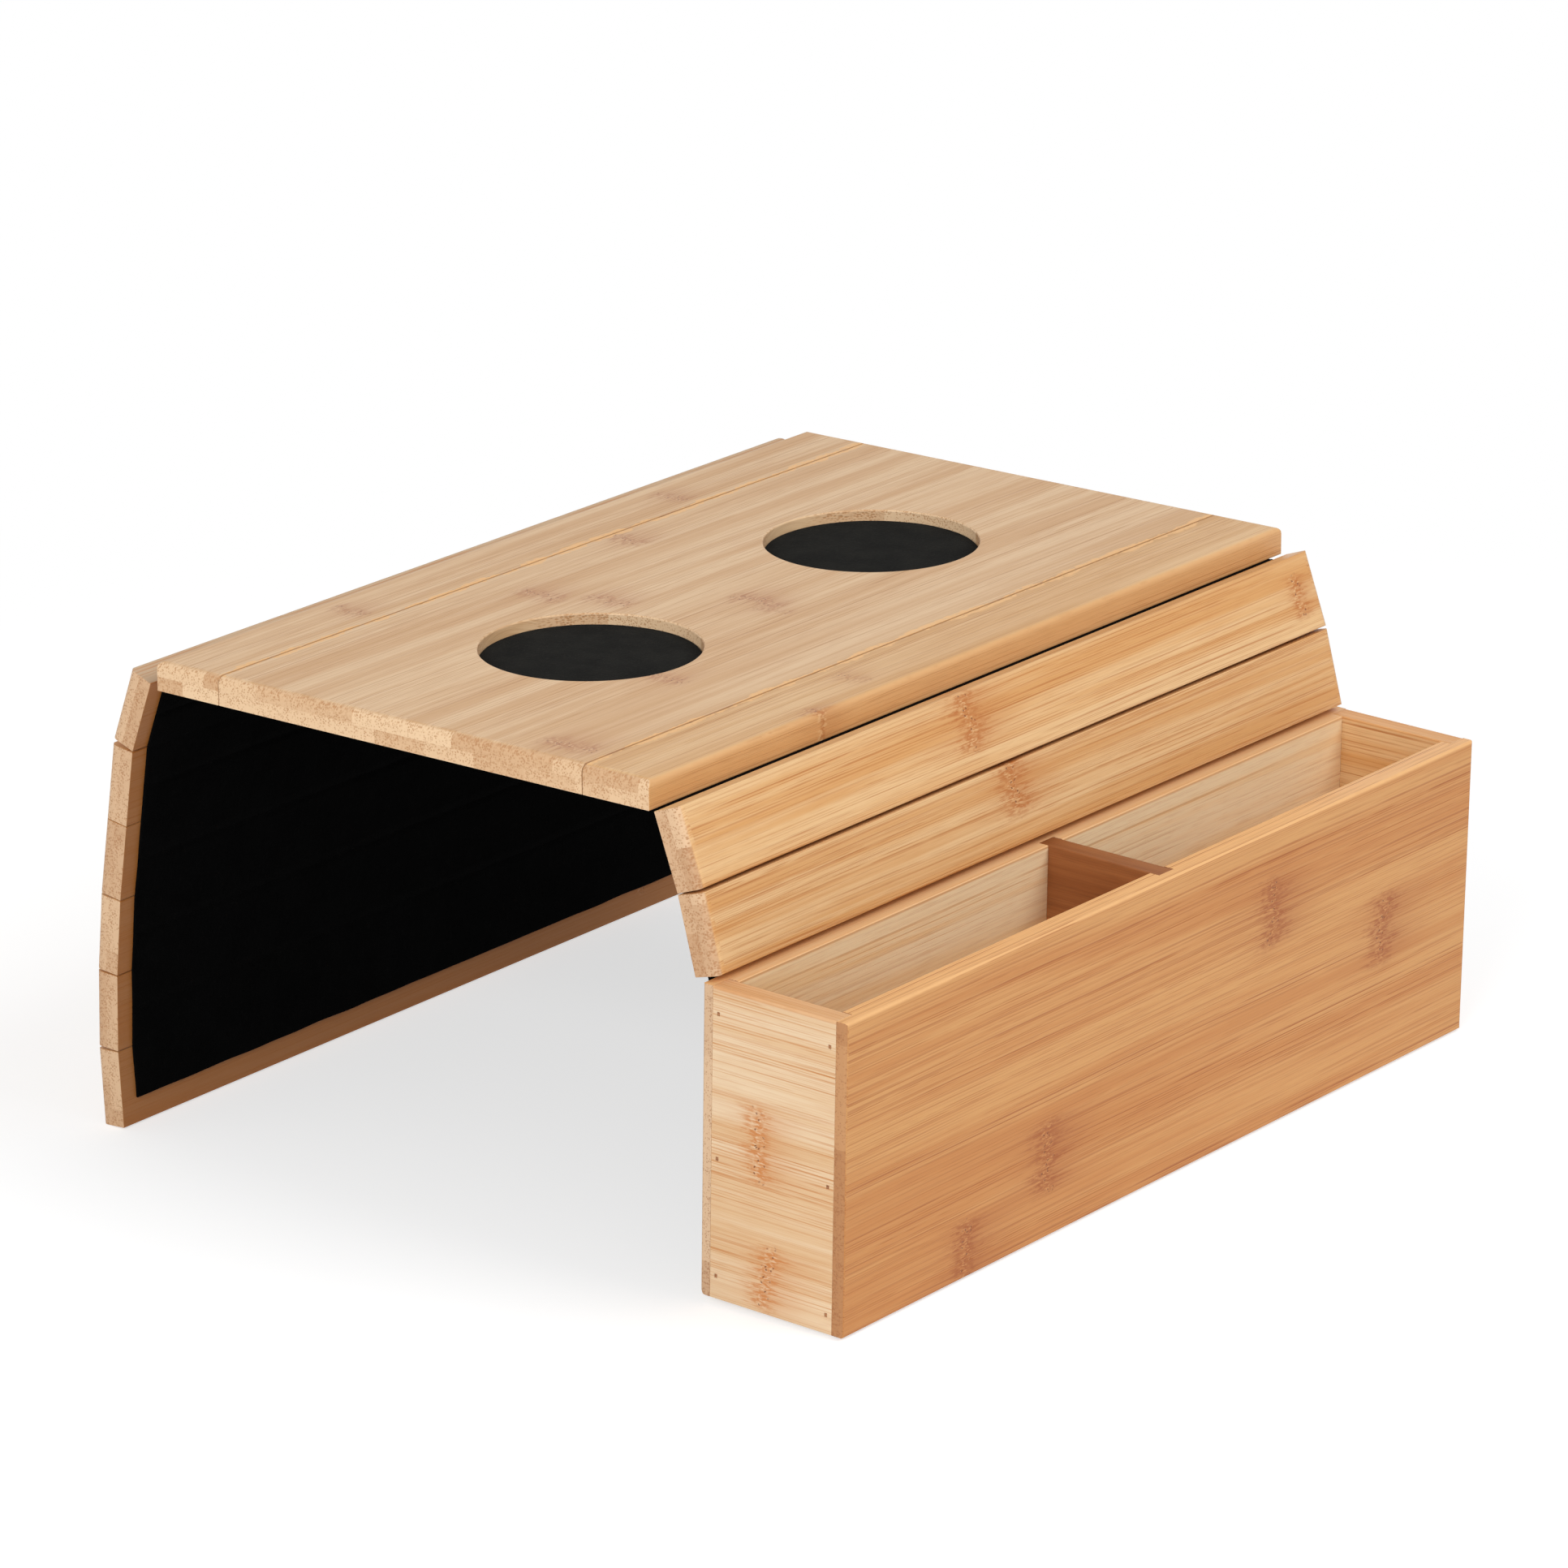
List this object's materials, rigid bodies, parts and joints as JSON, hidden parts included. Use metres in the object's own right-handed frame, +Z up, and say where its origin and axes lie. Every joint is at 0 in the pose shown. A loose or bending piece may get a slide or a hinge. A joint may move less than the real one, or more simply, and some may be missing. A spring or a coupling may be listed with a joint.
{
  "type": "sofa arm tray",
  "caption": "Bamboo tray of slats on a felt sheet that folds over a sofa arm, with cup recesses in its centre board and an organizer box hanging at one side.",
  "frame": {"origin": "centre of the felt's free face under the centre board, where the tray rests on the sofa arm", "axes": "+X towards the organizer box, +Y along the slats, +Z up"},
  "size_m": [0.3221, 0.354, 0.1701],
  "materials": {
    "bamboo_top": "pale bamboo, side-pressed strips, thin matt lacquer",
    "bamboo_slat": "warm bamboo with long straight fibres, thin matt lacquer",
    "bamboo_box": "warm bamboo with long straight fibres, thin matt lacquer",
    "felt": "black needled felt",
    "brad_steel": "dull steel brad"
  },
  "bodies": {
    "centre": {"centre_board": "bamboo_top", "centre_felt": "felt", "cup_felt_near": "felt", "cup_felt_far": "felt"},
    "left_edge": {"left_edge_slat": "bamboo_top", "left_edge_felt": "felt"},
    "right_edge": {"right_edge_slat": "bamboo_top", "right_edge_felt": "felt"},
    "right_1": {"right_slat_1": "bamboo_slat", "right_felt_1": "felt"},
    "right_2": {"right_slat_2": "bamboo_slat", "right_felt_2": "felt"},
    "box": {"box_back_board": "bamboo_box", "box_front_board": "bamboo_box", "box_near_side": "bamboo_box", "box_far_side": "bamboo_box", "box_divider": "bamboo_box", "box_bottom": "bamboo_box", "box_felt": "felt", "box_near_brads": "brad_steel", "box_far_brads": "brad_steel"},
    "left_1": {"left_slat_1": "bamboo_slat", "left_felt_1": "felt"},
    "left_2": {"left_slat_2": "bamboo_slat", "left_felt_2": "felt"},
    "left_3": {"left_slat_3": "bamboo_slat", "left_felt_3": "felt"},
    "left_4": {"left_slat_4": "bamboo_slat", "left_felt_4": "felt"},
    "left_5": {"left_slat_5": "bamboo_slat", "left_felt_5": "felt"},
    "left_6": {"left_slat_6": "bamboo_slat", "left_felt_6": "felt"}
  },
  "joints": [
    {"name": "left_edge_fold", "type": "hinge", "parent": "centre", "child": "left_edge", "pos_m": [-0.07715, 0, 0], "axis": [0, -1, 0], "range_deg": [0, 15]},
    {"name": "left_1_fold", "type": "hinge", "parent": "left_edge", "child": "left_1", "pos_m": [-0.1073, 0, 0], "axis": [0, -1, 0], "range_deg": [-70, 10]},
    {"name": "left_2_fold", "type": "hinge", "parent": "left_1", "child": "left_2", "pos_m": [-0.11566, 0, -0.02297], "axis": [0, -1, 0], "range_deg": [-11.5, 8.5]},
    {"name": "left_3_fold", "type": "hinge", "parent": "left_2", "child": "left_3", "pos_m": [-0.1197, 0, -0.04998], "axis": [0, -1, 0], "range_deg": [0, 10]},
    {"name": "left_4_fold", "type": "hinge", "parent": "left_3", "child": "left_4", "pos_m": [-0.12373, 0, -0.07698], "axis": [0, -1, 0], "range_deg": [-3, 7]},
    {"name": "left_5_fold", "type": "hinge", "parent": "left_4", "child": "left_5", "pos_m": [-0.12635, 0, -0.10415], "axis": [0, -1, 0], "range_deg": [-3.5, 6.5]},
    {"name": "left_6_fold", "type": "hinge", "parent": "left_5", "child": "left_6", "pos_m": [-0.1273, 0, -0.13143], "axis": [0, -1, 0], "range_deg": [-5, 5]},
    {"name": "right_edge_fold", "type": "hinge", "parent": "centre", "child": "right_edge", "pos_m": [0.07715, 0, 0], "axis": [0, 1, 0], "range_deg": [0, 15]},
    {"name": "right_1_fold", "type": "hinge", "parent": "right_edge", "child": "right_1", "pos_m": [0.10565, 0, 0], "axis": [0, 1, 0], "range_deg": [-70.4, 9.6]},
    {"name": "right_2_fold", "type": "hinge", "parent": "right_1", "child": "right_2", "pos_m": [0.11441, 0, -0.02459], "axis": [0, 1, 0], "range_deg": [-5.2, 9.8]},
    {"name": "box_fold", "type": "hinge", "parent": "right_2", "child": "box", "pos_m": [0.12538, 0, -0.06735], "axis": [0, 1, 0], "range_deg": [-15.9, 24.1]}
  ]
}
